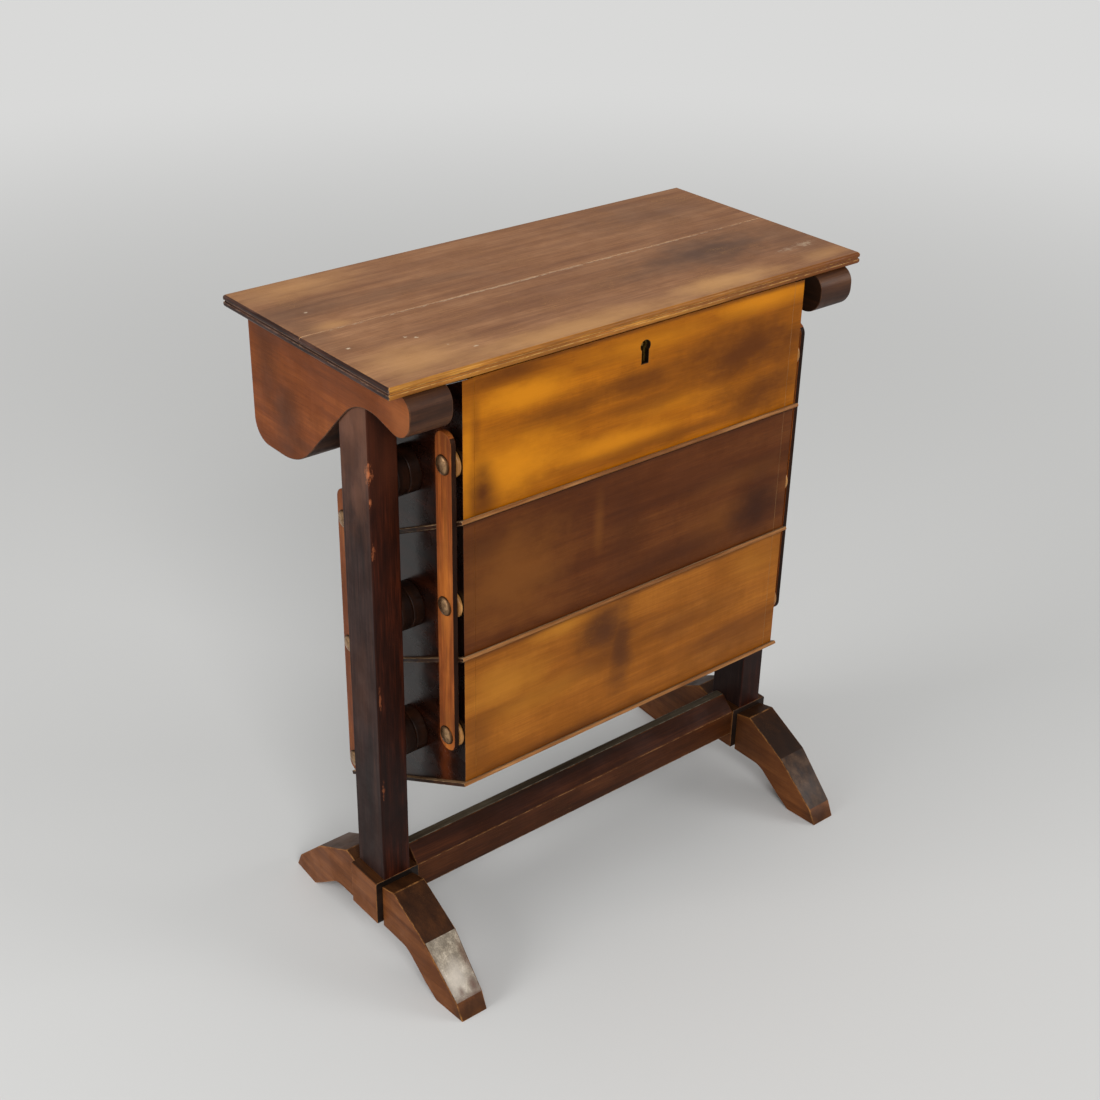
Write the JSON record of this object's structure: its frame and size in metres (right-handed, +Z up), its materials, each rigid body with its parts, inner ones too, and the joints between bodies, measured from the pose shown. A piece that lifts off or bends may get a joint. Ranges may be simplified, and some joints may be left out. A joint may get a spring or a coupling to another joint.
{
  "type": "spool cabinet",
  "caption": "Small wooden table-top spool cabinet: tilting trays with a sloping floor hang between two posts under a moulded top, joined by slat links, and the top tray locks.",
  "frame": {"origin": "under the middle of the overall box, on the surface that the feet stand on", "axes": "+X to the right of someone who faces the front panels, -Y to the front, +Z up"},
  "size_m": [0.45, 0.2664, 0.52],
  "materials": {
    "amber_front_wood": "glossy amber shellac",
    "bolt_steel": "worn bright",
    "bracket_wood": "aged shellac over dark stain",
    "dark_front_wood": "glossy dark shellac",
    "disc_wood": "stained, waxed",
    "dowel_wood": "bare",
    "floor_wood": "stained, edges worn pale",
    "foot_wood": "aged shellac over dark stain, worn on the shins",
    "link_wood": "stained, edges worn pale",
    "lock_brass": "tarnished",
    "post_wood": "aged shellac over dark stain",
    "screw_steel": "tarnished, worn bright on top",
    "stretcher_wood": "aged shellac over dark stain",
    "top_wood": "aged shellac over dark stain",
    "tray_wood": "glossy dark shellac",
    "washer_wood": "pale, waxed"
  },
  "bodies": {
    "stand": {"top_front_board": "top_wood", "top_rear_board": "top_wood", "strike_plate": "lock_brass", "strike_screws": "screw_steel", "stretcher": "stretcher_wood", "bracket_left": "bracket_wood", "post_left": "post_wood", "foot_block_left": "foot_wood", "foot_front_left": "foot_wood", "foot_back_left": "foot_wood", "foot_dowels_left": "dowel_wood", "post_discs_left": "disc_wood", "pivot_screws_left": "screw_steel", "bracket_right": "bracket_wood", "post_right": "post_wood", "foot_block_right": "foot_wood", "foot_front_right": "foot_wood", "foot_back_right": "foot_wood", "foot_dowels_right": "dowel_wood", "post_discs_right": "disc_wood", "pivot_screws_right": "screw_steel"},
    "upper_tray": {"upper_tray_front": "amber_front_wood", "upper_tray_back": "tray_wood", "upper_tray_end_left": "tray_wood", "upper_tray_end_right": "tray_wood", "upper_tray_floor": "floor_wood", "upper_tray_discs": "disc_wood", "upper_tray_washers": "washer_wood", "upper_tray_link_pins": "screw_steel", "lock_case": "lock_brass", "lock_screws": "screw_steel"},
    "middle_tray": {"middle_tray_front": "dark_front_wood", "middle_tray_back": "tray_wood", "middle_tray_end_left": "tray_wood", "middle_tray_end_right": "tray_wood", "middle_tray_floor": "floor_wood", "middle_tray_discs": "disc_wood", "middle_tray_washers": "washer_wood", "middle_tray_link_pins": "screw_steel"},
    "lower_tray": {"lower_tray_front": "amber_front_wood", "lower_tray_back": "tray_wood", "lower_tray_end_left": "tray_wood", "lower_tray_end_right": "tray_wood", "lower_tray_floor": "floor_wood", "lower_tray_discs": "disc_wood", "lower_tray_washers": "washer_wood", "lower_tray_link_pins": "screw_steel"},
    "link_front_left": {"link_front_left": "link_wood"},
    "link_front_right": {"link_front_right": "link_wood"},
    "link_back_left": {"link_back_left": "link_wood"},
    "link_back_right": {"link_back_right": "link_wood"},
    "lock_bolt": {"lock_bolt": "bolt_steel"}
  },
  "joints": [
    {"name": "upper_tray_tilt", "type": "hinge", "parent": "stand", "child": "upper_tray", "pos_m": [0, -0.01225, 0.4192], "axis": [1, 0, 0], "range_deg": [0, 45]},
    {"name": "middle_tray_tilt", "type": "hinge", "parent": "stand", "child": "middle_tray", "pos_m": [0, -0.01225, 0.3064], "axis": [1, 0, 0], "range_deg": [0, 45]},
    {"name": "lower_tray_tilt", "type": "hinge", "parent": "stand", "child": "lower_tray", "pos_m": [0, -0.01225, 0.1936], "axis": [1, 0, 0], "range_deg": [0, 45]},
    {"name": "link_front_left_swing", "type": "hinge", "parent": "upper_tray", "child": "link_front_left", "pos_m": [0, -0.06725, 0.4452], "axis": [1, 0, 0], "range_deg": [-45, 0]},
    {"name": "link_front_right_swing", "type": "hinge", "parent": "upper_tray", "child": "link_front_right", "pos_m": [0, -0.06725, 0.4452], "axis": [1, 0, 0], "range_deg": [-45, 0]},
    {"name": "link_back_left_swing", "type": "hinge", "parent": "upper_tray", "child": "link_back_left", "pos_m": [0, 0.06375, 0.3477], "axis": [1, 0, 0], "range_deg": [-45, 0]},
    {"name": "link_back_right_swing", "type": "hinge", "parent": "upper_tray", "child": "link_back_right", "pos_m": [0, 0.06375, 0.3477], "axis": [1, 0, 0], "range_deg": [-45, 0]},
    {"name": "lock_bolt_throw", "type": "slide", "parent": "upper_tray", "child": "lock_bolt", "axis": [0, 0, 1], "range_m": [0, 0.007]}
  ],
  "couplings": [
    {"joint": "middle_tray_tilt", "follows": "upper_tray_tilt", "ratio": 1},
    {"joint": "lower_tray_tilt", "follows": "upper_tray_tilt", "ratio": 1},
    {"joint": "link_front_left_swing", "follows": "upper_tray_tilt", "ratio": -1},
    {"joint": "link_front_right_swing", "follows": "upper_tray_tilt", "ratio": -1},
    {"joint": "link_back_left_swing", "follows": "upper_tray_tilt", "ratio": -1},
    {"joint": "link_back_right_swing", "follows": "upper_tray_tilt", "ratio": -1}
  ]
}
